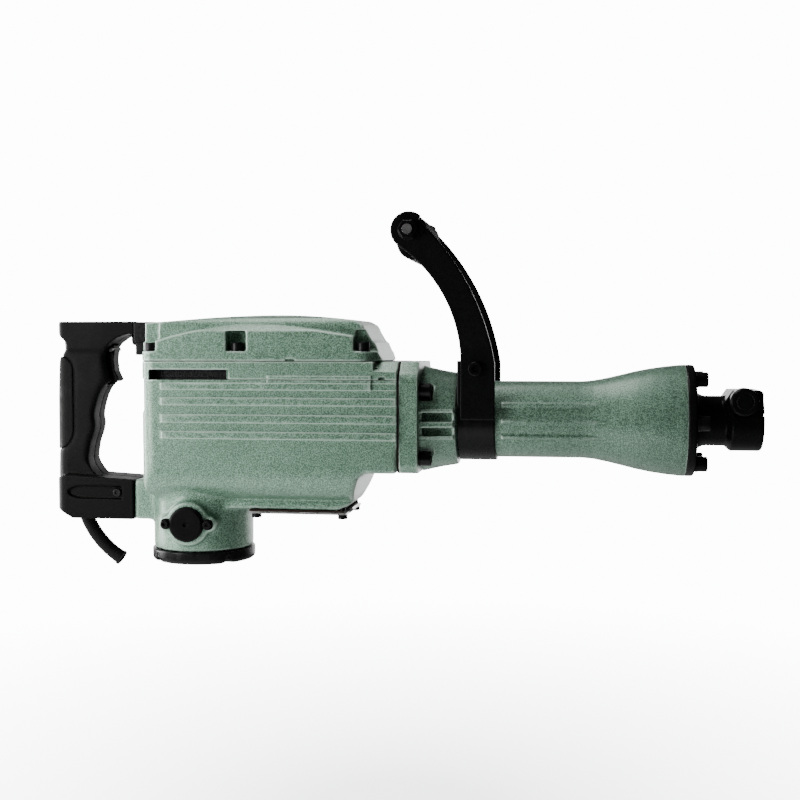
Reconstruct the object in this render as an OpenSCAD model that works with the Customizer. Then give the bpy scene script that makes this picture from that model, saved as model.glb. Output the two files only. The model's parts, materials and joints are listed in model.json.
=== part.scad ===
// Electric demolition hammer for 30 mm hexagon shank tools.
// X runs along the hammer axis with the tool socket's mouth at the origin and the body behind it,
// Z is up, and the motor stands upright at the rear.

/* [Tool socket] */
// Width across flats of the hexagon socket
hex_af = 30; // [28:0.5:30]
// Outer radius of the nose ring
nose_r = 30; // [28:0.5:31]
// Height of the retainer pin's axis above the hammer axis
retainer_z = 20.5; // [20:0.1:21]
// Radius of the retainer pin
retainer_r = 9.5; // [9:0.1:9.8]

/* [Cylinder case] */
// Outer radius of the barrel
barrel_r = 39; // [38.5:0.1:39]
// Outer radius of the front flange
flange_r = 56; // [55:0.5:58]
// Circle radius of the six front screws
front_bolt_circle = 48; // [47:0.5:48.5]
// Bore radius of the cylinder liner
liner_bore_r = 26; // [24:0.5:27]

/* [Motor housing] */
// Half of the housing's width
housing_hw = 63; // [61:0.5:66]
// Radius of the motor tube
motor_tube_r = 52.4; // [52:0.1:55]
// Height of the seam between lower and upper housing
seam_z = 40.8; // [40:0.2:42]
// Height of the seam between upper housing and top cover
cover_z = 59.2; // [58:0.2:60]
// Height of the underside of the bottom cover
floor_z = -151; // [-156:0.5:-150]

/* [Drive] */
// Crank radius, half of the piston stroke
crank_r = 17; // [15:0.5:17]
// Length of the connecting rod between its pins
con_rod_len = 95; // [94:1:98]
// Teeth of the rotor pinion
rotor_teeth = 12; // [12]
// Teeth of the idler gear
idler_teeth = 48; // [48]
// Teeth of the idler's own pinion
idler_pinion_teeth = 14; // [14]
// Teeth of the crank gear
crank_teeth = 40; // [40]

/* [Handles] */
// Radius of the hollow edge of the side handle's arms
arm_inner_r = 140; // [136:1:142]
// Radius of the long edge of the side handle's arms
arm_outer_r = 255; // [250:1:258]
// Half of the rear grip's width
grip_hw = 18; // [17:0.5:20]

/* [Hidden] */

$fn = 64;
e = 0.01;            // overshoot of a cut
gap = 0.3;           // air between pieces that move past each other
fit = 0.05;          // radial clearance of a running fit
slip = 0.2;          // radial clearance of a piece that is slid in and stays
m10_hole_r = 5.2;
m6_hole_r = 3.1;
m5_hole_r = 2.6;
m4_hole_r = 2.1;
shaft_r = 6;           // of the motor, the idler and the wrist pin

green = "darkseagreen";
black = "#222222";
steel = "silver";
dark_steel = "dimgray";
brass = "goldenrod";
copper = "peru";

// Stations along the hammer axis
mouth_x = 0;
neck_front_x = -34;
flange_front_x = -66;
case_front_x = -74.5;
spigot_x = -92;
holder_x = -140;
liner_front_x = -160;
band_x0 = -300;
band_x1 = -262;
plate_x1 = -337.3;
plate_x0 = -356.2;
housing_front_x = -357.4;
liner_rear_x = -415;
cover_front_x = -372;
housing_rear_x = -624;

// The upright shafts
motor_x = -575.3;
module_1 = 1.5;
module_2 = 2.25;
idler_x = motor_x + module_1 * (rotor_teeth + idler_teeth) / 2;
crank_x = idler_x + module_2 * (idler_pinion_teeth + crank_teeth) / 2;
crank_pin_x = crank_x + crank_r;
wrist_x = crank_pin_x + con_rod_len;

// Heights inside the housing
con_rod_z = 6;
disc_z0 = 7;
disc_z1 = 12;
gear_plate_z0 = 14;
gear_plate_z1 = 24;
roof_z = 53;
brush_z = -107.5;
tube_end_z = -138;
belly_z = -93.5;
stack_z0 = -88;
stack_z1 = -28;

// Bores of the castings
case_bore_r = 32.7;
holder_bore_r = 40;
liner_r = case_bore_r - slip;
tube_bore_r = 47.4;
bottom_screw_circle = (tube_bore_r + motor_tube_r) / 2;

// ---------- shapes that repeat ----------

// Points of an arc, for outlines
function arc(cx, cy, r, a0, a1, n = 10) =
    [for (i = [0 : n]) [cx + r * cos(a0 + (a1 - a0) * i / n), cy + r * sin(a0 + (a1 - a0) * i / n)]];

// An outline and its mirror image about the second axis, as one closed outline
function both_sides(pts) =
    concat(pts, [for (i = [len(pts) - 1 : -1 : 0]) [-pts[i][0], pts[i][1]]]);

// A half plan and its mirror image about the first axis
function both_halves(pts) =
    concat(pts, [for (i = [len(pts) - 1 : -1 : 0]) [pts[i][0], -pts[i][1]]]);

// An X-Z outline drawn out from y0 to y1
module side_prism(y0, y1) {
    translate([0, y1, 0]) rotate([90, 0, 0]) linear_extrude(y1 - y0) children();
}

// A Y-Z outline drawn out from x0 to x1
module cross_prism(x0, x1) {
    translate([x0, 0, 0]) rotate([90, 0, 90]) linear_extrude(x1 - x0) children();
}

// An X-Y outline drawn out from z0 to z1
module plan_prism(z0, z1) {
    translate([0, 0, z0]) linear_extrude(z1 - z0) children();
}

module box(x0, x1, y0, y1, z0, z1) {
    translate([x0, y0, z0]) cube([x1 - x0, y1 - y0, z1 - z0]);
}

// Round bars along each axis
module rod_x(x0, x1, r, y = 0, z = 0) {
    translate([x0, y, z]) rotate([0, 90, 0]) cylinder(r = r, h = x1 - x0);
}

module rod_y(y0, y1, r, x = 0, z = 0) {
    translate([x, y0, z]) rotate([-90, 0, 0]) cylinder(r = r, h = y1 - y0);
}

module rod_z(z0, z1, r, x = 0, y = 0) {
    translate([x, y, z0]) cylinder(r = r, h = z1 - z0);
}

// A body of revolution about the hammer axis, from [x, radius] points
module turned(pts) {
    rotate([0, 90, 0]) rotate_extrude()
        polygon([for (p = pts) [p[1], p[0]]]);
}

module tube_x(x0, x1, ro, ri) {
    turned([[x0, ri], [x1, ri], [x1, ro], [x0, ro]]);
}

module ring_z(z0, z1, ro, ri, x = 0, y = 0) {
    translate([x, y, z0]) rotate_extrude() polygon([[ri, 0], [ro, 0], [ro, z1 - z0], [ri, z1 - z0]]);
}

// A socket head cap screw: its head's seat at the origin, its shank towards -Z
module cap_screw(head_r, head_h, shank_r, shank_l) {
    socket_r = head_r * 0.58;
    difference() {
        union() {
            cylinder(r = head_r, h = head_h * 0.9);
            translate([0, 0, head_h * 0.9]) cylinder(r1 = head_r, r2 = head_r * 0.9, h = head_h * 0.1);
            translate([0, 0, -shank_l]) cylinder(r = shank_r, h = shank_l + e);
        }
        translate([0, 0, head_h * 0.45]) cylinder(r = socket_r, h = head_h, $fn = 6);
    }
}

// A ball bearing about a shaft along Z: two races and a shield
module bearing(z0, z1, ro, ri) {
    shield = 0.6;
    race = (ro - ri) * 0.28;
    ring_z(z0, z1, ro, ro - race);
    ring_z(z0, z1, ri + race, ri);
    ring_z(z0 + shield, z1 - shield, ro - race, ri + race);
}

// Angle in degrees by which an involute has unwound at radius r
function involute(rb, r) = let (a = acos(min(1, rb / r))) tan(a) * 180 / PI - a;

// Outline of a spur gear with one tooth on +X; play thins each flank
function gear_pts(m, teeth, play) =
    let (rp = m * teeth / 2, rb = rp * cos(20), tip = rp + 0.8 * m, root = rp - 1.15 * m,
        half = 90 / teeth + involute(rb, rp) - play / rp * 90 / PI,
        radii = [root, max(root, rb), (rb + tip) / 2, tip])
    [for (t = [0 : teeth - 1], s = [-1, 1], k = [0 : 3])
        let (r = radii[s < 0 ? k : 3 - k],
            a = t * 360 / teeth + s * (half - (r > rb ? involute(rb, r) : 0)))
        [r * cos(a), r * sin(a)]];

module gear(m, teeth, z0, z1, play = 0.25) {
    translate([0, 0, z0]) linear_extrude(z1 - z0) polygon(gear_pts(m, teeth, play));
}

module mirror_y() {
    children();
    mirror([0, 1, 0]) children();
}

// ---------- lower housing ----------

rear_corner_r = 15;
belly_hw = 40;
underside_z = -52.5;

// The housing's three outlines, each drawn in by t for the inside of the wall
function plan_pts(t, front) = both_halves(concat(
    [[front, housing_hw - t]],
    arc(housing_rear_x + rear_corner_r, housing_hw - rear_corner_r, rear_corner_r - t, 90, 180, 8)));

function cross_pts(t) = both_sides(concat(
    [[-housing_hw + t, seam_z + (t > 0 ? 1 : 0)]],
    arc(-31, -51, housing_hw - 31 - t, 180, 262, 10),
    [[-belly_hw + t, -86 + t], [-belly_hw + t, belly_z + t]]));

function side_pts(t) = concat(
    [[housing_front_x, seam_z + (t > 0 ? 1 : 0)], [housing_rear_x + t, seam_z + (t > 0 ? 1 : 0)]],
    arc(housing_rear_x + 30, -62, 30 - t, 180, 262, 8),
    [[-560, belly_z + t], [-419 - t, belly_z + t]],
    arc(-424 - t, -73, 20 - t, 285, 335, 6),
    arc(-387, -64.5, 12 + t, 165, 90, 6),
    [[housing_front_x, underside_z + t]]);

module housing_block(t) {
    intersection() {
        plan_prism(belly_z - 1, seam_z + 1) polygon(plan_pts(t, housing_front_x));
        cross_prism(housing_rear_x - 1, housing_front_x + 1) polygon(cross_pts(t));
        side_prism(-housing_hw - 1, housing_hw + 1) polygon(side_pts(t));
    }
}

relief = 1.8;

// Raised bands that run along both sides of the housing
module side_ribs() {
    for (band = [[15, 22.4], [-2.7, 5.2], [-19, -12]])
        box(-600, housing_front_x, housing_hw - e, housing_hw + relief, band[0], band[1]);
    box(-600, -383, housing_hw - e, housing_hw + relief, 30.5, 37.3);
    box(-489, -383, housing_hw - e, housing_hw + relief, 37, seam_z);
}

module brush_boss() {
    face_y = 58;
    rod_y(20, face_y, 23, motor_x, brush_z);
    for (s = [-1, 1])
        rod_y(30, face_y, 8.5, motor_x + s * brush_screw_dx, brush_z);
}

brush_screw_dx = 22.4;

module lower_housing() {
    wall = 5;
    front_wall = 15;
    boss_x = -644;
    color(green) difference() {
        union() {
            difference() {
                union() {
                    housing_block(0);
                    mirror_y() side_ribs();
                    rod_z(tube_end_z, -60, motor_tube_r, motor_x);
                    mirror_y() brush_boss();
                    // boss that carries the lower arm of the rear handle
                    box(boss_x, housing_rear_x + 20, -26, 26, -108.5, -66);
                }
                intersection() {
                    housing_block(wall);
                    box(housing_rear_x, housing_front_x - front_wall, -housing_hw, housing_hw, belly_z,
                        seam_z + 1);
                }
            }
            // sleeve that holds the stator
            rod_z(-100, -20, motor_tube_r, motor_x);
            // posts that the cover's screws end in
            for (x = cover_bolt_xs)
                mirror_y() rod_z(gear_plate_z1 + 1, seam_z, 6, x, cover_bolt_y);
        }
        rod_z(tube_end_z - 1, gear_plate_z0, tube_bore_r, motor_x);
        // way through the front wall for the cylinder liner
        rod_x(housing_front_x - front_wall - 20, housing_front_x + 1, case_bore_r);
        // service opening in the belly
        box(-503, -423, -28, 28, belly_z - 1, belly_z + wall + 1);
        // brush holders and their screws
        rod_y(-60, 60, 9, motor_x, brush_z);
        for (s = [-1, 1])
            mirror_y() rod_y(44, 60, 2.2, motor_x + s * brush_screw_dx, brush_z);
        mirror_y() for (x = belly_bolt_xs)
            rod_z(belly_z - 1, belly_z + 9, m6_hole_r, x, belly_bolt_y);
        at_bottom_screws() rod_z(tube_end_z - 1, tube_end_z + 12, m4_hole_r);
        for (p = case_bolt_places)
            rod_x(housing_front_x - 14, housing_front_x + 1, m10_hole_r, p[0], p[1]);
        for (x = cover_bolt_xs)
            mirror_y() rod_z(gear_plate_z1 + 1.5, seam_z + 1, m5_hole_r, x, cover_bolt_y);
        // shallow step at each rear corner
        mirror_y() difference() {
            box(housing_rear_x - 1, housing_rear_x + 5.5, 40, housing_hw + 1, 7, seam_z + 1);
            plan_prism(6, seam_z + 2) polygon(plan_pts(1.3, housing_front_x));
        }
        for (z = [-78, -97])
            rod_x(boss_x - 1, boss_x + 14, m6_hole_r, 0, z);
    }
}

// ---------- upper housing and top cover ----------

air_slot_x0 = -613;
air_slot_x1 = -527;
air_slot_z1 = 50.6;

// The front deck is lower at its sides
deck_pts = both_sides([[-housing_hw, seam_z], [-housing_hw, 49.5], [-46, cover_z]]);

module upper_housing() {
    wall = 5;
    color(green) difference() {
        union() {
            plan_prism(seam_z, cover_z) polygon(plan_pts(0, -381));
            cross_prism(-382, housing_front_x) polygon(deck_pts);
            mirror_y() box(-489, -383, housing_hw - e, housing_hw + relief, seam_z, 45);
        }
        intersection() {
            plan_prism(seam_z - 1, roof_z) polygon(plan_pts(wall, -377));
            box(housing_rear_x, -377, -housing_hw, housing_hw, seam_z - 1, roof_z);
        }
        // air slot, with a ramp at its front end
        mirror_y() plan_prism(seam_z - e, air_slot_z1)
            polygon([[air_slot_x0, 51], [air_slot_x1 - 12, 51], [air_slot_x1, 65], [air_slot_x0, 65]]);
        // seats of the upper bearings
        rod_z(roof_z - 1, cover_z - 1, 11 + e, idler_x);
        rod_z(roof_z - 1, cover_z - 1, 16 + e, crank_x);
        for (x = cover_bolt_xs)
            mirror_y() rod_z(seam_z - 1, cover_z + 1, m5_hole_r, x, cover_bolt_y);
        // pry slots at the seam
        mirror_y() box(-376, -369, housing_hw - 3, housing_hw + 1, seam_z - e, seam_z + 3);
    }
}

cover_bolt_xs = [-613, -521.5, -392];
cover_bolt_y = 55;
pocket_z = 69.5;
shoulder_y = 62.5;
crown_y = 51;

cover_plan_pts = both_halves(concat(
    arc(cover_front_x - 26, housing_hw - 24.5, 24, 0, 90, 8),
    arc(housing_rear_x + rear_corner_r, housing_hw - rear_corner_r, rear_corner_r, 90, 180, 8)));

// Skirt: its shoulder rises to a low hump; crown: a longer curve above it
skirt_side_pts = concat(
    [[-374, cover_z], [housing_rear_x, cover_z], [housing_rear_x, 78]],
    [for (i = [0 : 12]) let (u = i / 12) [-606 + 216 * u, 80 + 14 * sin(180 * pow(u, 0.85)) + 3 * u]],
    [[-382, 78]]);

crown_side_pts = concat(
    [[-373, cover_z], [-622, cover_z], [-622, 98]],
    [for (i = [0 : 12]) let (u = i / 12) [-618 + 216 * u, 98.8 + 6.6 * sin(180 * pow(u, 1.25)) + 2 * u]],
    [[-394.5, 96.5]]);

module cover_bolt_pockets() {
    mirror_y() {
        box(housing_rear_x - 1, -606, 47, 70, pocket_z, 110);
        box(-532, -511, 47, 70, pocket_z, 90);
        box(-401, -360, 47, 70, pocket_z, 91);
    }
}

module top_cover() {
    wall = 4.5;
    color(green) difference() {
        union() {
            intersection() {
                plan_prism(cover_z, 110) polygon(cover_plan_pts);
                side_prism(-housing_hw, housing_hw) polygon(skirt_side_pts);
                // the shoulder slopes up and in to the crown
                cross_prism(-630, -360) polygon(both_sides(
                    [[-shoulder_y, cover_z], [-shoulder_y, 90], [-crown_y + 3, 100]]));
            }
            intersection() {
                plan_prism(cover_z, 110) polygon(cover_plan_pts);
                side_prism(-crown_y, crown_y) polygon(crown_side_pts);
                cross_prism(-630, -360) polygon(both_sides(concat(
                    [[-crown_y, cover_z]], arc(-crown_y + 12, 92, 12, 180, 100, 6), [[-20, 106.5]])));
            }
        }
        cover_bolt_pockets();
        // hollow under the crown
        box(-600, -404, -crown_y + wall + 3, crown_y - wall - 3, cover_z - 1, 90);
        for (x = cover_bolt_xs)
            mirror_y() rod_z(cover_z - 1, pocket_z + 1, m5_hole_r, x, cover_bolt_y);
        mirror_y() box(-471, -461, housing_hw - 3, housing_hw + 1, cover_z - e, cover_z + 2.4);
        rod_x(-625, -608, 4.1, 0, mount_bolt_z);
    }
}

module top_cover_bolts() {
    color(black) mirror_y() for (x = cover_bolt_xs)
        translate([x, cover_bolt_y, pocket_z]) cap_screw(6.4, 8.5, 2.5, 42);
}

// Foam pads behind the two air slots
module air_filters() {
    color(black) mirror_y() box(air_slot_x0 - 3, air_slot_x1 + 3, 44, 50.9, seam_z + e, roof_z - 0.5);
}

module gaskets() {
    case_gasket();
    belly_gasket();
}

// ---------- cylinder case ----------

case_bolt_places = [[45, 30], [-45, 30], [45, -38], [-45, -38]];

module case_plate(x0, x1) {
    cross_prism(x0, x1) polygon(concat(
        [[-44, 59], [44, 59]], arc(47, 38, 13.5, 60, 0, 6),
        arc(50.5, underside_z + 10, 10, 0, -90, 6), arc(-50.5, underside_z + 10, 10, -90, -180, 6),
            arc(-47, 38, 13.5, 180, 120, 6)));
}

// Half-round ribs along the barrel on both sides
module barrel_ribs() {
    rib_r = 2.6;
    for (a = [-24, 0, 24], s = [0, 180])
        rotate([a + s, 0, 0]) rod_x(-256, -144, rib_r, -barrel_r + 0.3, 0);
}

// The neck's side windows, between its three ribs
module neck_pockets() {
    for (z = [[-0.6, 8.4], [-15, -6.4]])
        mirror_y() box(-334, -304, 41, 60, z[0], z[1]);
    mirror_y() for (z = [30, -38])
        rod_x(plate_x1, plate_x1 + 13.5, 10.5, 46, z);
}

// The neck, grown by t
module neck(t) {
    turned([[plate_x1 - 1, 0], [plate_x1 - 1, 54.5 + t], [-330, 52.5 + t], [-318, 49.8 + t],
        [-304, 47.5 + t],
        [-301.5, 46.6], [-301, 45], [-301, 0]]);
}

// Low ribs above, between and below the windows
module neck_ribs() {
    intersection() {
        neck(1.5);
        mirror_y() for (z = [[8.4, 12], [-6.4, -0.6], [-18.6, -15]])
            box(plate_x1 - 1, -303, 41, 60, z[0], z[1]);
    }
}

module cylinder_case() {
    barrel_pts = concat([[-302, 0], [-302, barrel_r]],
        [[-176, barrel_r], [-165, barrel_r + 1], [-150, 42.9], [-136, 46.3], [-122, 49.7], [-108, 52.4],
            [-94, 54.4], [-80, 55.8], [case_front_x, 56], [case_front_x, 0]]);
    color(green) difference() {
        union() {
            case_plate(plate_x0, plate_x1);
            difference() {
                neck(0);
                neck_pockets();
            }
            neck_ribs();
            turned(barrel_pts);
            barrel_ribs();
        }
        rod_x(plate_x0 - 1, case_front_x + 1, case_bore_r);
        rod_x(holder_x, case_front_x + 1, holder_bore_r);
        for (p = case_bolt_places)
            rod_x(plate_x0 - 1, plate_x1 + 1, m10_hole_r, p[0], p[1]);
        for (a = [0 : 60 : 300])
            rotate([a, 0, 0]) rod_x(case_front_x - 22, case_front_x + 1, m10_hole_r, -front_bolt_circle, 0);
    }
}

module case_gasket() {
    color(black) difference() {
        case_plate(housing_front_x, plate_x0);
        rod_x(housing_front_x - 1, plate_x0 + 1, case_bore_r);
        for (p = case_bolt_places)
            rod_x(housing_front_x - 1, plate_x0 + 1, m10_hole_r, p[0], p[1]);
    }
}

module case_bolts() {
    color(black) for (p = case_bolt_places)
        translate([plate_x1, p[0], p[1]]) rotate([0, 90, 0]) cap_screw(7.3, 12.5, 5, 32);
}

// ---------- front cover and tool retainer ----------

retainer_x = -21;
knob_r = 13.7;
boss_y = 28;

module front_cover() {
    outer = concat(
        [[spigot_x, 0], [spigot_x, holder_bore_r - slip], [case_front_x, holder_bore_r - slip],
            [case_front_x, flange_r], [flange_front_x - 1.5, flange_r], [flange_front_x, flange_r - 1.5],
            [flange_front_x, 38.5]],
        arc(flange_front_x + 12, 37, 12, 180, 270, 8),
        [[neck_front_x - 2, 25], [-30.5, nose_r], [-4, nose_r]],
        arc(-3, nose_r - 3, 3, 90, 10, 4),
        [[mouth_x, nose_r - 5], [mouth_x, 0]]);
    color(black) difference() {
        union() {
            turned(outer);
            side_prism(-boss_y, boss_y)
                polygon([[-38, 18], [-38, 21], [-31, 31.3], [-4, 31.3], [-1.5, 28.8], [-1.5, 0], [-31, 0]]);
        }
        // the hexagon socket, with flats above and below
        rotate([0, 90, 0]) translate([0, 0, spigot_x - 1])
            cylinder(r = hex_af / 2 / cos(30), h = -spigot_x + 2, $fn = 6);
        rod_x(-6, 1, 18);
        rod_y(-30, 30, retainer_r + fit, retainer_x, retainer_z);
        // spot face behind the knob
        rod_y(-40, -boss_y, knob_r + 1, retainer_x, retainer_z);
        for (a = [0 : 60 : 300])
            rotate([a, 0, 0]) rod_x(case_front_x - 1, flange_front_x + 1, m10_hole_r, -front_bolt_circle,
                0);
        // split in the boss's front face
        box(-3, 1, -30, -18, 6.2, 8);
    }
}

module front_washers() {
    color(dark_steel) for (a = [0 : 60 : 300])
        rotate([a, 0, 0]) translate([0, -front_bolt_circle, 0])
            tube_x(flange_front_x, flange_front_x + 2.4, 8, 5.1);
}

module front_cover_bolts() {
    color(black) for (a = [0 : 60 : 300])
        rotate([a, 0, 0]) translate([flange_front_x + 2.4, -front_bolt_circle, 0])
            rotate([0, 90, 0]) cap_screw(7.4, 9.4, 5, 31);
}

module retainer_pin() {
    knob_y0 = -42;
    knob_y1 = -boss_y - gap;
    flat = 4.8;
    color(black) difference() {
        union() {
            rod_y(knob_y1 - 1, 27, retainer_r, retainer_x, retainer_z);
            rod_y(knob_y0 + 1.2, knob_y1, knob_r, retainer_x, retainer_z);
            rod_y(knob_y0, knob_y0 + 2, knob_r - 1.2, retainer_x, retainer_z);
        }
        // the flat that lets a shank pass when it faces the socket
        box(retainer_x - 12, retainer_x + 12, -22, 22, retainer_z + flat, retainer_z + 12);
        // ring groove in the knob's face
        translate([retainer_x, knob_y0 - e, retainer_z]) rotate([-90, 0, 0])
            ring_z(0, 1.2, 8.6, 7.6);
    }
}

// ---------- hammer parts ----------

module cylinder_liner() {
    color(steel) difference() {
        tube_x(liner_rear_x, liner_front_x, liner_r, liner_bore_r);
        for (a = [45 : 90 : 315])
            rotate([a, 0, 0]) rod_y(liner_bore_r - 1, liner_r + 1, 3, -300, 0);
    }
}

module buffer_ring() {
    color(black) tube_x(liner_front_x + 1, holder_x - 0.5, liner_r - 0.1, 17);
}

module hammer_holder() {
    color(steel) turned([[holder_x, 16], [-134, 16], [-134, 20], [spigot_x - 0.5, 20],
        [spigot_x - 0.5, holder_bore_r - slip], [holder_x, holder_bore_r - slip]]);
}

module impact_bolt() {
    color(steel) turned([[-186, 0], [-186, 13.5], [-184, 15], [-128, 15.5], [-126, 20 - fit],
        [-100, 20 - fit],
        [-98, 14.4], [-90, 14.4], [-88, 12.5], [-88, 0]]);
}

striker_ring_x = -240;

module striker() {
    r = liner_bore_r - fit;
    color(steel) turned([[-262, 0], [-262, r - 2], [-260, r], [striker_ring_x - 2, r],
        [striker_ring_x - 2, r - 3],
        [striker_ring_x + 2, r - 3], [striker_ring_x + 2, r], [-216, r], [-213, 17], [-205, 15],
            [-205, 0]]);
}

module striker_ring() {
    r = liner_bore_r - fit;
    color(black) tube_x(striker_ring_x - 1.9, striker_ring_x + 1.9, r, r - 2.9);
}

piston_rear_x = wrist_x - 18;
piston_front_x = wrist_x + 32;

module piston() {
    r = liner_bore_r - fit;
    ring_x = piston_front_x - 8;
    color(steel) difference() {
        turned([[piston_rear_x, 0], [piston_rear_x, r], [ring_x - 1.6, r], [ring_x - 1.6, r - 3],
            [ring_x + 1.6, r - 3],
            [ring_x + 1.6, r], [piston_front_x - 1, r], [piston_front_x, r - 1], [piston_front_x, 0]]);
        box(piston_rear_x - 1, wrist_x + 15, -17, 17, -con_rod_z - 1, con_rod_z + 1);
        rod_z(-30, 30, shaft_r + e, wrist_x);
    }
}

module piston_ring() {
    r = liner_bore_r - fit;
    color(black) tube_x(piston_front_x - 9.5, piston_front_x - 6.5, r, r - 2.9);
}

module wrist_pin() {
    color(dark_steel) rod_z(-23, 23, 6, wrist_x);
}

module con_rod() {
    web_hw = 6.5;
    color(steel) difference() {
        union() {
            rod_z(-con_rod_z, con_rod_z, 11.5, wrist_x);
            rod_z(-con_rod_z, con_rod_z, 14.5, crank_pin_x);
            box(crank_pin_x, wrist_x, -web_hw, web_hw, -con_rod_z + 1.5, con_rod_z - 1.5);
        }
        rod_z(-10, 10, 6 + fit, wrist_x);
        rod_z(-10, 10, 7.01, crank_pin_x);
        box(crank_pin_x + 18, wrist_x - 16, -3.5, 3.5, 2, 10);
        box(crank_pin_x + 18, wrist_x - 16, -3.5, 3.5, -10, -2);
    }
}

// The crank pin, held in the rod's big end
module crank_pin() {
    color(dark_steel) {
        rod_z(-con_rod_z - 2, disc_z0 - gap, 7, crank_pin_x);
    }
}

// ---------- gear train ----------

module crankshaft() {
    color(steel) difference() {
        union() {
            rod_z(disc_z0, disc_z1, 27, crank_x);
            rod_z(disc_z1 - e, cover_z - 2, 10, crank_x);
            rod_z(disc_z1 - e, gear_plate_z0 - gap, 13, crank_x);
        }
        // key slot that holds the gear
        rod_z(disc_z0 - 1, disc_z1 - 2, 7.5, crank_pin_x);
    }
}

module crank_gear() {
    z0 = 39;
    z1 = 49.5;
    color(steel) translate([crank_x, 0, 0]) difference() {
        rotate([0, 0, 180 / crank_teeth]) gear(module_2, crank_teeth, z0, z1);
        rod_z(z0 - 1, z1 + 1, 10.01);
        for (a = [0 : 60 : 300])
            rotate([0, 0, a]) rod_z(z0 - 1, z1 + 1, 7, 26);
    }
}

module idler_shaft() {
    color(steel) translate([idler_x, 0, 0]) {
        rod_z(gear_plate_z0 + 1, cover_z - 2, 6);
        gear(module_2, idler_pinion_teeth, 38.5, 50);
    }
}

module idler_gear() {
    z0 = 27;
    z1 = 37;
    color(steel) translate([idler_x, 0, 0]) difference() {
        rotate([0, 0, 180 / idler_teeth]) gear(module_1, idler_teeth, z0, z1);
        rod_z(z0 - 1, z1 + 1, shaft_r + e);
        ring_z(z1 - 2, z1 + 1, 30, 14);
    }
}

module armature_shaft() {
    color(steel) translate([motor_x, 0, 0]) {
        rod_z(-134.5, 30, 6);
        gear(module_1, rotor_teeth, 26, 38);
    }
}

module armature_core() {
    core_r = 26;
    color(dark_steel) translate([motor_x, 0, 0]) difference() {
        rod_z(stack_z0, stack_z1, core_r);
        rod_z(stack_z0 - 1, stack_z1 + 1, shaft_r + e);
        for (a = [0 : 30 : 330])
            rotate([0, 0, a]) {
                rod_z(stack_z0 - 1, stack_z1 + 1, 3.4, 20);
                box(20, core_r + 1, -1, 1, stack_z0 - 1, stack_z1 + 1);
            }
    }
}

module armature_windings() {
    color(copper) translate([motor_x, 0, 0]) {
        for (a = [0 : 30 : 330])
            rotate([0, 0, a]) rod_z(stack_z0 - 2, stack_z1 + 2, 3.3, 20);
        ring_z(stack_z0 - 7, stack_z0 - 0.5, 24, 9);
        ring_z(stack_z1 + 0.5, stack_z1 + 9, 24, 9);
    }
}

commutator_r = 16;

module commutator() {
    z0 = -119;
    z1 = -97;
    color(copper) translate([motor_x, 0, 0]) difference() {
        ring_z(z0, z1, commutator_r, shaft_r + e);
        for (a = [0 : 15 : 345])
            rotate([0, 0, a]) box(commutator_r - 1.2, commutator_r + 1, -0.3, 0.3, z0 - 1, z1 + 1);
    }
}

module cooling_fan() {
    z0 = -8;
    hub_r = 14;
    tip_r = 42;
    color("ivory") translate([motor_x, 0, 0]) difference() {
        union() {
            rod_z(z0, z0 + 2.5, tip_r);
            rod_z(z0, z0 + 15, hub_r);
            for (a = [0 : 30 : 330])
                rotate([0, 0, a]) box(hub_r - 1, tip_r - 1, -1, 1, z0, z0 + 14);
        }
        rod_z(z0 - 1, z0 + 17, shaft_r + e);
    }
}

module gear_plate() {
    color("lightgray") difference() {
        intersection() {
            plan_prism(gear_plate_z0, gear_plate_z1) polygon(plan_pts(5.2, -420));
            box(-620, -428, -58, 58, gear_plate_z0, gear_plate_z1);
        }
        rod_z(gear_plate_z0 - 1, gear_plate_z1 + 1, 16 + e, motor_x);
        rod_z(gear_plate_z0 - 1, gear_plate_z1 + 1, 11 + e, idler_x);
        rod_z(gear_plate_z0 - 1, gear_plate_z1 + 1, 22 + e, crank_x);
        // air ways beside the motor bearing
        for (a = [60 : 60 : 300])
            rotate_about(motor_x, a) rod_z(gear_plate_z0 - 1, gear_plate_z1 + 1, 7, 30);
    }
}

module rotate_about(x, a) {
    translate([x, 0, 0]) rotate([0, 0, a]) children();
}

module gear_bearings() {
    color(steel) {
        translate([idler_x, 0, 0]) bearing(gear_plate_z0 + 1, gear_plate_z1, 11, 6 + fit);
        translate([idler_x, 0, 0]) bearing(51, cover_z - 2, 11, 6 + fit);
        translate([crank_x, 0, 0]) bearing(gear_plate_z0, gear_plate_z1, 22, 10 + fit);
        translate([crank_x, 0, 0]) bearing(50.5, cover_z - 2, 16, 10 + fit);
    }
}

// ---------- motor ----------

module motor_bearings() {
    color(steel) translate([motor_x, 0, 0]) {
        bearing(gear_plate_z0, gear_plate_z1 - 1, 16, 6 + fit);
        bearing(-135, -126, 14, 6 + fit);
    }
}

module stator_core() {
    color(dark_steel) translate([motor_x, 0, 0]) difference() {
        rod_z(stack_z0, stack_z1, tube_bore_r - slip);
        rod_z(stack_z0 - 1, stack_z1 + 1, 26.8);
        // the two winding windows
        for (s = [-1, 1])
            translate([s * 30, 0, 0]) box(-9, 9, -22, 22, stack_z0 - 1, stack_z1 + 1);
    }
}

module stator_windings() {
    color(copper) translate([motor_x, 0, 0])
        for (s = [-1, 1], end = [[stack_z0 - 7, stack_z0], [stack_z1, stack_z1 + 8]])
        intersection() {
            ring_z(end[0], end[1], 44, 29);
            translate([0, s * 38, 0]) box(-30, 30, -22, 22, end[0], end[1]);
        }
}

module brush_holders() {
    color(brass) mirror_y() difference() {
        union() {
            translate([motor_x, 0, brush_z]) box(-7, 7, 19, 48, -5.5, 5.5);
            rod_y(48 - e, 56, 8.8, motor_x, brush_z);
        }
        translate([motor_x, 0, brush_z]) box(-5.2, 5.2, 18, 57, -3.7, 3.7);
    }
}

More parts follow.
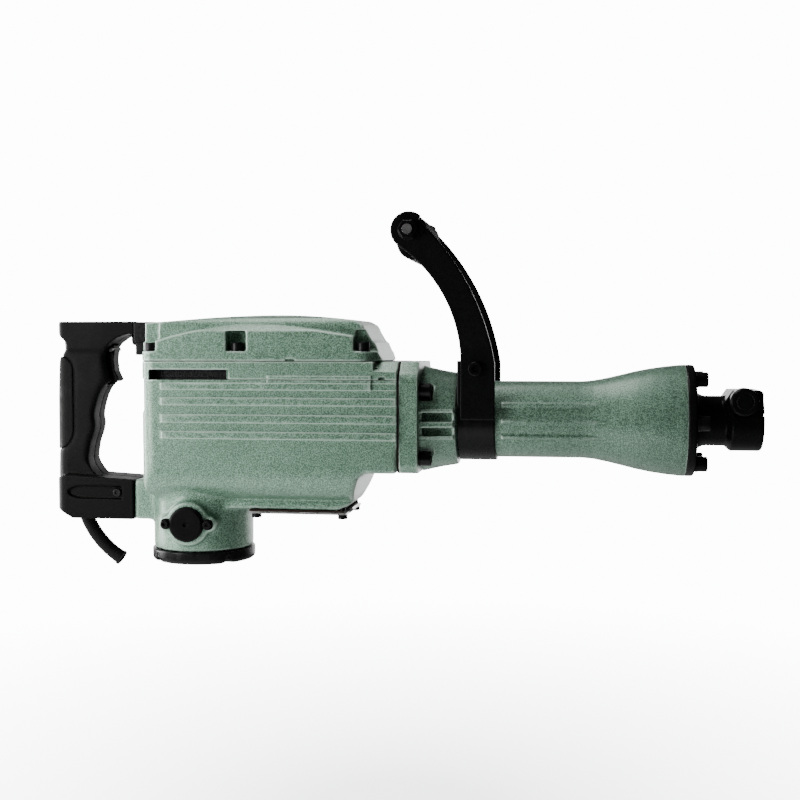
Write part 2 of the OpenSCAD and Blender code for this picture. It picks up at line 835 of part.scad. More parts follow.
module carbon_brushes() {
    color(black) mirror_y() translate([motor_x, 0, brush_z]) difference() {
        box(-5, 5, commutator_r - 2, 36, -3.5, 3.5);
        rod_z(-5, 5, commutator_r + 0.15);
    }
}

module brush_springs() {
    color(steel) mirror_y() translate([motor_x, 36.2, brush_z]) rotate([-90, 0, 0])
        for (k = [0 : 5])
            translate([0, 0, 1 + k * 3]) rotate_extrude() translate([2.6, 0]) circle(r = 0.6, $fn = 16);
}

module brush_caps() {
    color(black) mirror_y() difference() {
        union() {
            rod_y(58, 62.5, 18, motor_x, brush_z);
            rod_y(62.5 - e, 63.7, 16.6, motor_x, brush_z);
            translate([motor_x, 0, brush_z]) box(-brush_screw_dx, brush_screw_dx, 58, 60.5, -4, 4);
            for (s = [-1, 1])
                rod_y(58, 60.5, 5.6, motor_x + s * brush_screw_dx, brush_z);
        }
        rod_y(62.2, 65, 2.2, motor_x, brush_z);
        for (s = [-1, 1])
            rod_y(57, 61, 2.2, motor_x + s * brush_screw_dx, brush_z);
    }
}

module brush_cap_screws() {
    color(black) mirror_y() for (s = [-1, 1])
        translate([motor_x + s * brush_screw_dx, 60.5, brush_z]) rotate([-90, 0, 0])
            cap_screw(4, 3.6, 2, 14);
}

// Calls its children at the four screws of the motor's bottom cover
module at_bottom_screws() {
    for (a = [45 : 90 : 315])
        translate([motor_x + bottom_screw_circle * cos(a), bottom_screw_circle * sin(a), 0]) children();
}

module motor_bottom_cover() {
    cap_r = 54.2;
    plug_r = tube_bore_r - slip;
    color(black) difference() {
        translate([motor_x, 0, 0]) rotate_extrude() polygon([
            [0, floor_z], [cap_r - 2.5, floor_z], [cap_r - 0.8, floor_z + 0.8], [cap_r, floor_z + 3],
            [cap_r, tube_end_z], [plug_r, tube_end_z], [plug_r, tube_end_z + 4], [18, tube_end_z + 4],
            [18, -125], [0, -125]]);
        rod_z(-135, -120, 14 + e, motor_x);
        rod_z(-145, -134, 8, motor_x);
        at_bottom_screws() {
            rod_z(floor_z - 1, tube_end_z + 5, m4_hole_r);
            rod_z(floor_z - 1, floor_z + 9, 4.3);
        }
        // hollow ring that keeps the casting's walls even
        ring_z(tube_end_z - 9, tube_end_z + 5, 44, 21, motor_x);
    }
}

module bottom_cover_screws() {
    color(black) at_bottom_screws()
        translate([0, 0, floor_z + 9]) rotate([180, 0, 0]) cap_screw(4, 4.5, 2, 15.5);
}

// ---------- belly cover ----------

belly_x0 = -514.5;
belly_x1 = -412.5;
lip_hw = 22;
belly_bolt_xs = [-508, -417.5];
belly_bolt_y = 34.5;
gasket_t = 1.8;
plate_t = 2.2;

module belly_gasket() {
    color(black) difference() {
        box(belly_x0, belly_x1 - 2.5, -belly_hw, belly_hw, belly_z - gasket_t, belly_z);
        box(-503, -423, -28, 28, belly_z - 3, belly_z + 1);
        mirror_y() for (x = belly_bolt_xs)
            rod_z(belly_z - 3, belly_z + 1, m6_hole_r, x, belly_bolt_y);
    }
}

module belly_plate() {
    z1 = belly_z - gasket_t;
    lip = 4;
    color(steel) difference() {
        union() {
            box(belly_x0, belly_x1 + e, -belly_hw, belly_hw, z1 - plate_t, z1);
            side_prism(-lip_hw, lip_hw)
                polygon([[belly_x1, z1 - plate_t], [belly_x1 + lip, z1 - plate_t + lip],
                [belly_x1 + lip - 1.5, z1 - plate_t + lip + 1.5], [belly_x1 - 0.6, z1]]);
            // low boss in the plate's middle
            rod_z(z1 - plate_t - 1.6, z1 - plate_t + e, 11.5, -460);
        }
        mirror_y() for (x = belly_bolt_xs)
            rod_z(z1 - plate_t - 1, z1 + 1, m6_hole_r, x, belly_bolt_y);
    }
}

module belly_bolts() {
    seat_z = belly_z - gasket_t - plate_t;
    color(black) mirror_y() for (x = belly_bolt_xs)
        translate([x, belly_bolt_y, seat_z]) rotate([180, 0, 0]) cap_screw(5, 4.5, 3, 11);
}

// ---------- rear handle ----------

handle_rear_x = -731;
mount_bolt_z = 82;
arm_front_x = -644;
trigger_x = -674;
trigger_z = 71;

top_arm_pts = [[-645, 100.5], [-729, 100.5], [-731, 98], [-731, 88.5], [-727, 84], [-720, 78], [-720, 70],
    [-676, 70], [-673, 77], [-664, 83.5], [-652, 87.4], [-645, 87.4]];

grip_pts = concat(
    [[-723, 80], [-723, 70], [-727, 66], [-730.5, 58], [-733.5, 15], [-734.5, -40], [-734, -66],
        [-700, -66], [-700, -70], [-668, -70]],
    arc(-672, -41.5, 27, 270, 188, 8),
    [[-696, -28], [-692, -18], [-690, -8], [-692, 0], [-690, 10], [-686.5, 22], [-682.5, 30], [-677, 35],
        [-670, 38],
        [-675, 41], [-679, 60], [-678, 72], [-674, 80]]);

lower_arm_pts = [[handle_rear_x, -66], [handle_rear_x, -98], [-712, -108.5], [arm_front_x, -108.5],
    [arm_front_x, -66.5],
    [-686, -64], [-720, -62]];

function grip_plan(t) = concat(
    arc(-721, -grip_hw + 14, 14 - t, 270, 180, 8), arc(-721, grip_hw - 14, 14 - t, 180, 90, 8),
    arc(-682, grip_hw - 12, 12 - t, 90, 0, 6), arc(-682, -grip_hw + 12, 12 - t, 0, -90, 6));

// A slab of the handle with round vertical edges at its rear
module arm_slab(hw, rear, round_r) {
    intersection() {
        side_prism(-hw, hw) children();
        plan_prism(-130, 120) polygon(both_halves(concat([[-600, hw]],
            arc(rear + round_r, hw - round_r, round_r, 90, 180, 8))));
    }
}

module grip_column() {
    intersection() {
        side_prism(-grip_hw - 1, grip_hw + 1) polygon(grip_pts);
        plan_prism(-75, 85) polygon(grip_plan(0));
    }
}

// The rubber pad's outline on the side of the grip
pad_side_pts = concat([[-745, -38]], arc(-734, -16, 19.5, -80, 0, 8), arc(-729, 49, 14.5, 0, 80, 8),
    [[-745, 66]]);

module pad_zone() {
    side_prism(-grip_hw - 2, grip_hw + 2) polygon(pad_side_pts);
}

module handle_solid() {
    difference() {
        union() {
            arm_slab(20, -731, 8) polygon(top_arm_pts);
            grip_column();
            arm_slab(28, handle_rear_x, 12) polygon(lower_arm_pts);
        }
        // long recess in both sides of the lower arm
        mirror_y() side_prism(25, 30) polygon(recess_pts);
        // hollow for the switch and the leads
        box(-719, -700, -11, 11, -60, 76);
        box(-716, -655, -18, 18, -101, -72);
        box(-719, -700, -11, 11, -80, -55);
        // pocket of the mount bolt's head
        rod_x(-657, -644, 7.4, 0, mount_bolt_z);
        // slot of the trigger
        box(-702, -660, -8.3, 8.3, 34, 77);
        rod_y(-30, 30, 2.5 + e, trigger_x, trigger_z);
        rod_y(-30, 22, 2.2, near_screw_x, recess_z);
        rod_y(-22, 30, 2.2, far_screw_x, recess_z);
        // the upper screws go in from the far side and end inside the near shell
        for (p = upper_screw_places) {
            rod_y(-16, 30, 2.2, p[0], p[1]);
            rod_y(upper_screw_y, 21, 4.4, p[0], p[1]);
        }
        // way out for the cord guard
        translate([guard_x, 0, guard_z]) rotate([0, guard_start - 90, 0])
            cylinder(r = guard_r + 0.1, h = 40, center = true);
    }
}

recess_z = -80.4;
recess_x1 = -656.5;
recess_pts = concat([[recess_x1, recess_z - 6.8], [recess_x1, recess_z + 6.8]],
    [for (a = [90 : 15 : 270]) [-699 + 18 * cos(a), recess_z + 6.8 * sin(a)]]);
near_screw_x = -662.5;
far_screw_x = -703;
upper_screw_places = [[-710, 93], [-657, 95]];
upper_screw_y = 17;

pad_t = 3;

// The part of the handle between y0 and y1, with the pad's seat cut into the grip
module half_shell(y0, y1) {
    color(black) intersection() {
        difference() {
            handle_solid();
            difference() {
                pad_zone();
                plan_prism(-75, 85) polygon(grip_plan(pad_t));
            }
        }
        box(-800, -600, y0, y1, -130, 110);
    }
}

module handle_shell_left() {
    half_shell(0, 40);
}

module handle_shell_right() {
    half_shell(-40, 0);
}

module grip_pad() {
    color("#333333") difference() {
        intersection() {
            pad_zone();
            grip_column();
        }
        plan_prism(-75, 85) polygon(grip_plan(pad_t - 0.1));
    }
}

module handle_screws() {
    color(black) {
        translate([near_screw_x, -25, recess_z]) rotate([90, 0, 0]) cap_screw(4.2, 2.6, 2, 36);
        translate([far_screw_x, 25, recess_z]) rotate([-90, 0, 0]) cap_screw(4.2, 2.6, 2, 36);
        for (p = upper_screw_places)
            translate([p[0], upper_screw_y, p[1]]) rotate([-90, 0, 0]) cap_screw(4.2, 2.6, 2, 32);
        translate([-645, 0, mount_bolt_z]) rotate([0, -90, 0]) cap_screw(6.6, 7.5, 4, 34);
        rod_y(-12, 12, 2.5, trigger_x, trigger_z);
    }
}

module handle_mount_block() {
    color(black) difference() {
        union() {
            box(-645, -622.2, -20, 20, 79, 100);
            box(-645, -624.2, -15, 15, 65, 79 + e);
        }
        rod_x(-646, -620, 4.1, 0, mount_bolt_z);
    }
}

module trigger() {
    hw = 7.8;
    color(black) difference() {
        side_prism(-hw, hw) polygon([[-677.5, 75.5], [-672.5, 75.5], [-671, 70], [-672.5, 60],
            [-671, 48], [-666.5, 38.5], [-670, 36.5],
            [-679, 41], [-686, 50], [-689, 62], [-686, 68]]);
        rod_y(-10, 10, 2.5 + fit, trigger_x, trigger_z);
    }
}

module switch_body() {
    color(black) {
        box(-718.5, -701.5, -10.5, 10.5, 30, 72);
        // its plunger, behind the trigger
        rod_x(-701.6, -695, 2.4, 0, 54);
    }
}

// ---------- cord guard ----------

guard_r = 7.2;
guard_bore_r = 4.6;
cord_hole_r = 4.75;
guard_curve_r = 94;
guard_start = 71;
guard_sweep = 37;
guard_x = -709.5;
guard_z = -104;

// A bent sleeve: its centre line starts at the handle, steeply down, and flattens towards the mouth
module guard_sweep_solid(r, extra) {
    translate([guard_x + guard_curve_r * sin(guard_start), 0, guard_z + guard_curve_r * cos(guard_start)])
        rotate([90, 0, 0]) rotate([0, 0, 270 - guard_start - extra])
            rotate_extrude(angle = guard_sweep + 2 * extra) translate([guard_curve_r, 0])
                circle(r = r, $fn = 32);
}

module at_guard_mouth() {
    a = guard_start - guard_sweep;
    translate([guard_x + guard_curve_r * (sin(guard_start) - sin(a)), 0,
        guard_z + guard_curve_r * (cos(guard_start) - cos(a))])
        rotate([0, 90 + a, 0]) children();
}

module cord_guard() {
    mouth = 6.5;
    color(black) difference() {
        union() {
            guard_sweep_solid(guard_r, 0);
            at_guard_mouth() {
                translate([0, 0, -0.5]) cylinder(r = guard_r + 0.3, h = mouth);
                translate([0, 0, mouth - 2.5]) cylinder(r = guard_r + 1, h = 2.5);
            }
        }
        guard_sweep_solid(guard_bore_r, 1);
        at_guard_mouth() translate([0, 0, -0.2]) cylinder(r = cord_hole_r, h = mouth + 3);
    }
}

// ---------- side handle ----------

band_t = 3;
band_in_r = barrel_r + gap;
clamp_x = -281;
clamp_z = 52;
arm_t = 5;
arm_y = band_in_r + band_t + e;
arm_lean = 8.4;
arm_knee_z = 72;
arm_inner_c = [-436.1, 60];
arm_outer_c = [-514, 18];
arm_end_c = [-345.5, 189.8];
arm_end_r = 18.5;
arm_foot_x1 = -262;
arm_foot_z = 1;

module side_handle_band() {
    out_r = band_in_r + band_t;
    color(black) difference() {
        union() {
            rod_x(band_x0, band_x1, out_r);
            box(band_x0, band_x1, -out_r, out_r, 0, 60);
        }
        rod_x(band_x0 - 1, band_x1 + 1, band_in_r);
        box(band_x0 - 1, band_x1 + 1, -band_in_r, band_in_r, 0, 61);
        rod_y(-50, 50, m10_hole_r, clamp_x, clamp_z);
    }
}

// Flat outline of an arm: a straight foot, then two arcs that close in on a round end
module arm_outline() {
    to_inner = atan2(arm_end_c[1] - arm_inner_c[1], arm_end_c[0] - arm_inner_c[0]);
    to_outer = atan2(arm_end_c[1] - arm_outer_c[1], arm_end_c[0] - arm_outer_c[0]);
    foot_a = acos((arm_foot_x1 - arm_outer_c[0]) / arm_outer_r);
    polygon(concat(
        [[arm_inner_c[0] + arm_inner_r, arm_foot_z], [arm_foot_x1, arm_foot_z]],
        arc(arm_outer_c[0], arm_outer_c[1], arm_outer_r, foot_a, to_outer, 14),
        arc(arm_end_c[0], arm_end_c[1], arm_end_r, to_outer + 4, to_inner + 180 - 4, 12),
        arc(arm_inner_c[0], arm_inner_c[1], arm_inner_r, to_inner - 2, 0, 12)));
}

module lean_out() {
    translate([0, arm_y, arm_knee_z]) rotate([-arm_lean, 0, 0]) translate([0, -arm_y, -arm_knee_z])
        children();
}

module one_arm() {
    difference() {
        union() {
            intersection() {
                side_prism(arm_y, arm_y + arm_t) arm_outline();
                box(-400, -200, 0, 60, 0, arm_knee_z);
            }
            lean_out() intersection() {
                side_prism(arm_y, arm_y + arm_t) arm_outline();
                box(-400, -200, 0, 60, arm_knee_z - 0.3, 300);
            }
        }
        rod_y(30, 60, m10_hole_r, clamp_x, clamp_z);
        rod_y(40, 90, m10_hole_r, grip_bolt_x, grip_bolt_z);
    }
}

grip_bolt_x = arm_end_c[0];
grip_bolt_z = arm_knee_z + (arm_end_c[1] - arm_knee_z) * cos(arm_lean) - arm_t / 2 * sin(arm_lean);
grip_end_y = arm_y + (grip_bolt_z - arm_knee_z) * tan(arm_lean);

grip_nut_seat_y = grip_end_y + arm_t + 1.4;

module side_handle_arms() {
    color(black) mirror_y() one_arm();
}

module side_handle_clamp_bolt() {
    head_y = arm_y + arm_t;
    color(black) {
        translate([clamp_x, -head_y, clamp_z]) rotate([90, 0, 0]) cap_screw(7, 4.5, 5, 2 * head_y + 12);
        translate([clamp_x, head_y + 0.05, clamp_z]) rotate([-90, 0, 0]) difference() {
            cylinder(r = 8.5 / cos(30), h = 8, $fn = 6);
            translate([0, 0, -1]) cylinder(r = 5.05, h = 10);
        }
    }
}

module side_grip() {
    end_y = grip_end_y - 3.4;
    core_r = 17;
    color(black) difference() {
        union() {
            rod_y(-end_y, end_y, core_r, grip_bolt_x, grip_bolt_z);
            rod_y(-end_y + 6, end_y - 6, core_r, grip_bolt_x + 3, grip_bolt_z - 11);
            rod_y(-end_y + 6, end_y - 6, core_r + 0.2, grip_bolt_x + 1.5, grip_bolt_z - 5.5);
        }
        rod_y(-end_y - 1, end_y + 1, 5.1, grip_bolt_x, grip_bolt_z);
    }
}

module side_grip_stud() {
    reach = grip_nut_seat_y + 10.5;
    color(steel) rod_y(-reach, reach, 5, grip_bolt_x, grip_bolt_z);
}

module side_grip_nuts() {
    color(black) mirror_y() translate([grip_bolt_x, grip_nut_seat_y, grip_bolt_z]) rotate([-90, 0, 0])
        difference() {
        union() {
            cylinder(r = 8.5 / cos(30), h = 8, $fn = 6);
            cylinder(r = 10.5, h = 1.6);
        }
        translate([0, 0, -1]) cylinder(r = 5.05, h = 12);
    }
}

// ---------- what is drawn ----------

lower_housing();
upper_housing();
top_cover();
top_cover_bolts();
cylinder_case();
gaskets();
air_filters();
case_bolts();
front_cover();
front_cover_bolts();
front_washers();
buffer_ring();
cylinder_liner();
hammer_holder();
motor_bottom_cover();
bottom_cover_screws();
belly_plate();
belly_bolts();
brush_caps();
brush_cap_screws();
brush_holders();
carbon_brushes();
brush_springs();
stator_core();
stator_windings();
motor_bearings();
gear_plate();
armature_shaft();
armature_core();
armature_windings();
commutator();
cooling_fan();
idler_gear();
idler_shaft();
crank_gear();
crankshaft();
gear_bearings();
con_rod();
crank_pin();
piston();
piston_ring();
wrist_pin();
striker();
striker_ring();
impact_bolt();
retainer_pin();
handle_shell_left();
handle_shell_right();
grip_pad();
handle_screws();
handle_mount_block();
trigger();
switch_body();
side_handle_band();
side_handle_arms();
side_handle_clamp_bolt();
side_grip();
side_grip_stud();
side_grip_nuts();
cord_guard();
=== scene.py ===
"""Looks of an electric demolition hammer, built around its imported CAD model.

The castings are remeshed copies of the CAD nodes with rounded cast edges and fillets.
Machined and moulded nodes stay as the CAD made them, with bevelled edges and procedural materials.
"""
import json
import math

import bpy
import numpy as np
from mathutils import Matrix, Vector

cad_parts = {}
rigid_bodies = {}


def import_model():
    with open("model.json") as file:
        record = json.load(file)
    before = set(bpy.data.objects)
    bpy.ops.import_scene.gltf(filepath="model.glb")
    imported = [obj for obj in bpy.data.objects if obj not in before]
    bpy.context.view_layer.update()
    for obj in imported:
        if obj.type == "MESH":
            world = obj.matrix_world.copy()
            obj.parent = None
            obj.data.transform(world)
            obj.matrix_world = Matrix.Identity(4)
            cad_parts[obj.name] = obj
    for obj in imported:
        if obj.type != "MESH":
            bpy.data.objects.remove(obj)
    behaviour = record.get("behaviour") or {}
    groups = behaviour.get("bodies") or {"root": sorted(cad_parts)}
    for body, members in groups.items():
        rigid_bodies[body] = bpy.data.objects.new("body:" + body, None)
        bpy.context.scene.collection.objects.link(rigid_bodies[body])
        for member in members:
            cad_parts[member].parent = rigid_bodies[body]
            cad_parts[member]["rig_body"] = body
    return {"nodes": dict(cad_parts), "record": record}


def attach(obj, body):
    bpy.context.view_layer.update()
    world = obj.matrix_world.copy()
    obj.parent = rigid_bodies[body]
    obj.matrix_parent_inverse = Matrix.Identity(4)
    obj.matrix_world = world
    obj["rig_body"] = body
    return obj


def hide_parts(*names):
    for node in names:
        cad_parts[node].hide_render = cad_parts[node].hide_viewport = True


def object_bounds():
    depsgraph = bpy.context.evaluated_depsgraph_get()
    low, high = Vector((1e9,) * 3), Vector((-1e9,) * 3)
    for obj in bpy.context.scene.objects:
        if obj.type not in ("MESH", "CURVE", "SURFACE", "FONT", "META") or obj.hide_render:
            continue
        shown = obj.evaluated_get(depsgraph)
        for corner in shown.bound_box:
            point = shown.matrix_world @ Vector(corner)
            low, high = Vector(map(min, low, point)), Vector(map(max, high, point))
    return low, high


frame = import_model()
CAD_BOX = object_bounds()
NODES = frame["nodes"]
SCENE = bpy.context.scene
MM = 0.001
CAD_MIDDLE = (Vector(CAD_BOX[0]) + Vector(CAD_BOX[1])) / 2
WELD_GAP = 0.005 * MM


# ---------------------------------------------------------------- camera, light and floor

CAMERA_TARGET = Vector((-363.5, 0, 18.5)) * MM
CAMERA_DISTANCE = 1248 * MM
CAMERA_AZIMUTH = math.radians(8.5)
CAMERA_ELEVATION = math.radians(2.6)
CAMERA_LENS = 54
ROOM_LIGHT = 0.06
BACKDROP_LIGHT = 14.0
# name: offset from the middle of the box, aim, width, height (m), power (W)
SOFTBOXES = {
    "overhead": ((-0.25, 0.08, 0.95), (0, 0, 0), 0.9, 0.5, 11.5),
    "rear_left": ((-0.70, -0.52, 0.05), (-0.3, 0, 0), 0.3, 0.5, 7.5),
    "left_side": ((-1.10, 0.12, 0.05), (-0.2, 0, 0), 0.5, 0.7, 25),
    "front_fill": ((-0.3, -1.6, 0.9), (0, 0, 0), 1.2, 0.3, 0.5),
    "from_below": ((-0.25, -0.25, -0.42), (-0.1, 0, 0), 1.1, 0.5, 3),
    "backdrop_card": ((-0.45, 1.3, -0.05), (-0.45, 0, -0.05), 3.0, 0.8, 24),
}

FLOOR_DROP = 260 * MM
FLOOR_HALF = 3.0
FLOOR_FADE = (0.1, 1.1)
FLOOR_ALPHA = 0.8


def look_at(thing, target):
    thing.rotation_euler = (target - thing.location).to_track_quat("-Z", "Y").to_euler()


def add_camera():
    camera = bpy.data.objects.new("camera", bpy.data.cameras.new("camera"))
    SCENE.collection.objects.link(camera)
    level = math.cos(CAMERA_ELEVATION)
    away = Vector((
        math.sin(CAMERA_AZIMUTH) * level,
        -math.cos(CAMERA_AZIMUTH) * level,
        math.sin(CAMERA_ELEVATION),
    ))
    camera.location = CAMERA_TARGET + away * CAMERA_DISTANCE
    camera.data.lens = CAMERA_LENS
    camera.data.sensor_width = 36
    look_at(camera, CAMERA_TARGET)
    SCENE.camera = camera


def add_softbox(name, offset, aim, width, height, power):
    """An area light. `offset` and `aim` are from the middle of the hammer's box."""
    data = bpy.data.lights.new(name, "AREA")
    data.shape = "RECTANGLE"
    data.size = width
    data.size_y = height
    data.energy = power
    light = bpy.data.objects.new(name, data)
    SCENE.collection.objects.link(light)
    light.location = CAD_MIDDLE + Vector(offset)
    look_at(light, CAD_MIDDLE + Vector(aim))


def add_studio():
    world = bpy.data.worlds.new("studio")
    SCENE.world = world
    world.use_nodes = True
    tree = world.node_tree
    background = tree.nodes["Background"]
    background.inputs["Color"].default_value = (0.98, 0.99, 1.0, 1)
    # the room that lights the hammer is dim, and what shows behind it is pale
    seen = tree.nodes.new("ShaderNodeLightPath").outputs["Is Camera Ray"]
    level = tree.nodes.new("ShaderNodeMapRange")
    level.inputs["To Min"].default_value = ROOM_LIGHT
    level.inputs["To Max"].default_value = BACKDROP_LIGHT
    tree.links.new(seen, level.inputs["Value"])
    tree.links.new(level.outputs["Result"], background.inputs["Strength"])
    for name, (offset, aim, width, height, power) in SOFTBOXES.items():
        add_softbox(name, offset, aim, width, height, power)


def add_floor():
    """A pale floor well below the hammer, which is shown held up; it fades into the backdrop all round."""
    half = FLOOR_HALF
    mesh = bpy.data.meshes.new("floor")
    corners = [(-half, -half, 0), (half, -half, 0), (half, half, 0), (-half, half, 0)]
    mesh.from_pydata(corners, [], [(0, 1, 2, 3)])
    floor = bpy.data.objects.new("floor", mesh)
    floor.location = (CAD_MIDDLE.x, CAD_MIDDLE.y, CAD_BOX[0][2] - FLOOR_DROP)
    SCENE.collection.objects.link(floor)
    look = Look("floor_paper")
    reach = look.add("VectorMath", {"operation": "LENGTH"}, Vector=look.where()).outputs["Value"]
    look.shine(base=(0.93, 0.94, 0.95), roughness=0.9, specular=0.0)
    look.put(look.shader.inputs["Alpha"], look.remap(reach, *FLOOR_FADE, FLOOR_ALPHA, 0))
    mesh.materials.append(look.material)


# ---------------------------------------------------------------- materials

class Look:
    """A procedural material on the Principled shader, textured in the model's own metres."""

    SOCKETS = {
        "base": "Base Color", "roughness": "Roughness", "metallic": "Metallic",
        "specular": "Specular IOR Level", "coat": "Coat Weight", "coat_roughness": "Coat Roughness",
        "normal": "Normal",
    }

    def __init__(self, name):
        self.material = bpy.data.materials.new(name)
        self.material.use_nodes = True
        self.tree = self.material.node_tree
        self.shader = self.tree.nodes["Principled BSDF"]
        self.place = None

    def add(self, kind, settings=None, **inputs):
        """Adds a node. Inputs are values, or sockets to link; underscores in their names stand for spaces."""
        node = self.tree.nodes.new("ShaderNode" + kind)
        for key, value in (settings or {}).items():
            setattr(node, key, value)
        for key, value in inputs.items():
            self.put(node.inputs[key.replace("_", " ")], value)
        return node

    def put(self, socket, value):
        if isinstance(value, bpy.types.NodeSocket):
            self.tree.links.new(value, socket)
        elif isinstance(value, tuple) and len(value) == 3 and socket.type == "RGBA":
            socket.default_value = (*value, 1)
        else:
            socket.default_value = value

    def shine(self, **inputs):
        """Sets the shader's own sockets: base, roughness, metallic, coat and so on."""
        for key, value in inputs.items():
            self.put(self.shader.inputs[self.SOCKETS[key]], value)

    def where(self, stretch=(1, 1, 1)):
        """Object coordinates in metres, stretched along an axis for brushed or drawn surfaces."""
        if self.place is None:
            self.place = self.add("TexCoord").outputs["Object"]
        if stretch == (1, 1, 1):
            return self.place
        return self.add("Mapping", Vector=self.place, Scale=stretch).outputs["Vector"]

    def noise(self, size, detail=3, stretch=(1, 1, 1)):
        """Noise whose blobs are about `size` metres across."""
        return self.add("TexNoise", Vector=self.where(stretch), Scale=1 / size, Detail=detail).outputs["Fac"]

    def cells(self, size, smooth):
        """Smooth cells about `size` metres across: 0 in their middles, more between them."""
        node = self.add(
            "TexVoronoi", {"feature": "SMOOTH_F1"}, Vector=self.where(), Scale=1 / size, Smoothness=smooth)
        return node.outputs["Distance"]

    def bands(self, scale, distortion):
        """Fine waves along Z."""
        node = self.add(
            "TexWave", {"bands_direction": "Z"}, Vector=self.where(), Scale=scale, Distortion=distortion)
        return node.outputs["Fac"]

    def remap(self, value, low, high, to_low, to_high):
        """Maps low..high to to_low..to_high, clamped."""
        node = self.add(
            "MapRange", Value=value, From_Min=low, From_Max=high, To_Min=to_low, To_Max=to_high)
        return node.outputs["Result"]

    def math(self, operation, a, b=0.0):
        node = self.tree.nodes.new("ShaderNodeMath")
        node.operation = operation
        self.put(node.inputs[0], a)
        self.put(node.inputs[1], b)
        return node.outputs[0]

    def blend(self, factor, a, b):
        """Colour a where the factor is 0, and b where it is 1."""
        node = self.tree.nodes.new("ShaderNodeMix")
        node.data_type = "RGBA"
        self.put(node.inputs["Factor"], factor)
        colours = [s for s in node.inputs if s.type == "RGBA"]
        self.put(colours[0], a)
        self.put(colours[1], b)
        return [s for s in node.outputs if s.type == "RGBA"][0]

    def bump(self, height, depth, strength=1.0, below=None):
        """Bump whose full height is `depth` metres; `below` is an earlier bump under it."""
        node = self.add("Bump", Strength=strength, Distance=depth, Height=height)
        if below is not None:
            self.put(node.inputs["Normal"], below)
        return node.outputs["Normal"]

    def axes(self):
        """The three object coordinates, in metres."""
        return self.add("SeparateXYZ", Vector=self.where()).outputs

    def past(self, value, start, fade):
        """0 before start, 1 beyond start + fade, in mm."""
        return self.remap(value, start * MM, (start + fade) * MM, 0, 1)

    def lines(self, value, levels, inner, outer):
        """1 where the value is within `inner` of a level, 0 further than `outer` from all; all in mm."""
        nearest = None
        for level in levels:
            away = self.math("ABSOLUTE", self.math("SUBTRACT", value, level * MM))
            nearest = away if nearest is None else self.math("MINIMUM", nearest, away)
        return self.remap(nearest, inner * MM, outer * MM, 1, 0)

    def edges(self, low, high):
        """0 on flats and in hollows, 1 on outer edges."""
        return self.remap(self.add("NewGeometry").outputs["Pointiness"], low, high, 0, 1)


# where the green castings meet and where the ribs on the housing's sides stand, in mm
SEAM_LEVELS = (40.8, 59.2)
RIB_LEVELS = (37.3, 30.5, 22.4, 15.0, 5.2, -2.7, -12.0, -19.0)
RIB_REAR, RIB_FRONT, RIB_SIDE = -600, -358, 61.5


def hammertone_green():
    """Hammertone paint: pale metallic pools with darker, sunken lines between them."""
    look = Look("hammer_green")
    pools = look.cells(1.2 * MM, 0.5)
    grain = look.noise(0.62 * MM, 2)
    fleck = look.math("ADD", look.math("MULTIPLY", pools, 0.8), look.math("MULTIPLY", grain, 0.9))
    tone = look.remap(fleck, 0.60, 0.95, 1, 0)
    drift = look.remap(look.noise(70 * MM, 2), 0.3, 0.7, 0, 1)
    dark = look.blend(drift, (0.050, 0.118, 0.073), (0.064, 0.138, 0.088))
    light = look.blend(drift, (0.212, 0.366, 0.262), (0.244, 0.402, 0.295))
    # painted highlights on the outer edges and along the ribs, and painted shade in the seams between the
    # castings
    x, y, z = look.axes()
    on_housing = look.remap(x, RIB_FRONT * MM, (RIB_FRONT + 0.2) * MM, 1, 0)
    on_ribs = look.math("MULTIPLY", look.past(x, RIB_REAR, 0.5), on_housing)
    on_ribs = look.math("MULTIPLY", look.past(look.math("ABSOLUTE", y), RIB_SIDE, 0.5), on_ribs)
    ribs = look.math("MULTIPLY", look.lines(z, RIB_LEVELS, 0.25, 0.7), on_ribs)
    # painted highlight: pointiness and the rib lines lighten the colour
    bright = look.math("MAXIMUM", look.edges(0.506, 0.545), look.math("MULTIPLY", ribs, 0.6))
    # painted highlight: a pale green blended in on outer edges and rib lines
    highlit = look.blend(bright, look.blend(tone, dark, light), (0.52, 0.66, 0.57))
    # painted shade: a near-black line, broken into stretches by noise, where the green castings meet
    seams = look.math("MULTIPLY", look.lines(z, SEAM_LEVELS, 0.2, 0.7), on_housing)
    broken = look.remap(look.noise(28 * MM, 1), 0.35, 0.6, 0.35, 1)
    base = look.blend(look.math("MULTIPLY", seams, broken), highlit, (0.006, 0.011, 0.008))
    waves = look.bump(look.noise(8 * MM, 2), 0.30 * MM, 0.7)
    look.shine(
        base=base, metallic=0.42, roughness=look.remap(grain, 0.3, 0.7, 0.27, 0.42),
        coat=0.45, coat_roughness=0.30,
        normal=look.bump(tone, 0.30 * MM, 0.8, waves))
    return look.material


def black_enamel():
    """Gloss black enamel on castings, with orange peel and a little dust."""
    look = Look("black_cast")
    peel = look.noise(5 * MM, 2)
    dust = look.noise(0.8 * MM, 4)
    base = look.blend(look.remap(dust, 0.55, 0.75, 0, 1), (0.0048, 0.0048, 0.0049), (0.0080, 0.0080, 0.0081))
    edge = look.blend(look.edges(0.55, 0.64), base, (0.008, 0.008, 0.0085))
    look.shine(
        base=edge, roughness=look.remap(peel, 0.3, 0.7, 0.22, 0.34), specular=0.09,
        normal=look.bump(dust, 0.05 * MM, 0.2, look.bump(peel, 0.3 * MM, 0.22)))
    return look.material


def black_oxide():
    """Blackened screws and nuts, mottled, with paler edges."""
    look = Look("black_screw")
    mottle = look.noise(1.6 * MM, 4)
    base = look.blend(look.remap(mottle, 0.35, 0.7, 0, 1), (0.0015, 0.0015, 0.0017), (0.004, 0.004, 0.0045))
    edge = look.blend(look.edges(0.54, 0.62), base, (0.03, 0.03, 0.03))
    look.shine(base=edge, metallic=0.3, specular=0.2, roughness=look.remap(mottle, 0.3, 0.7, 0.28, 0.45))
    return look.material


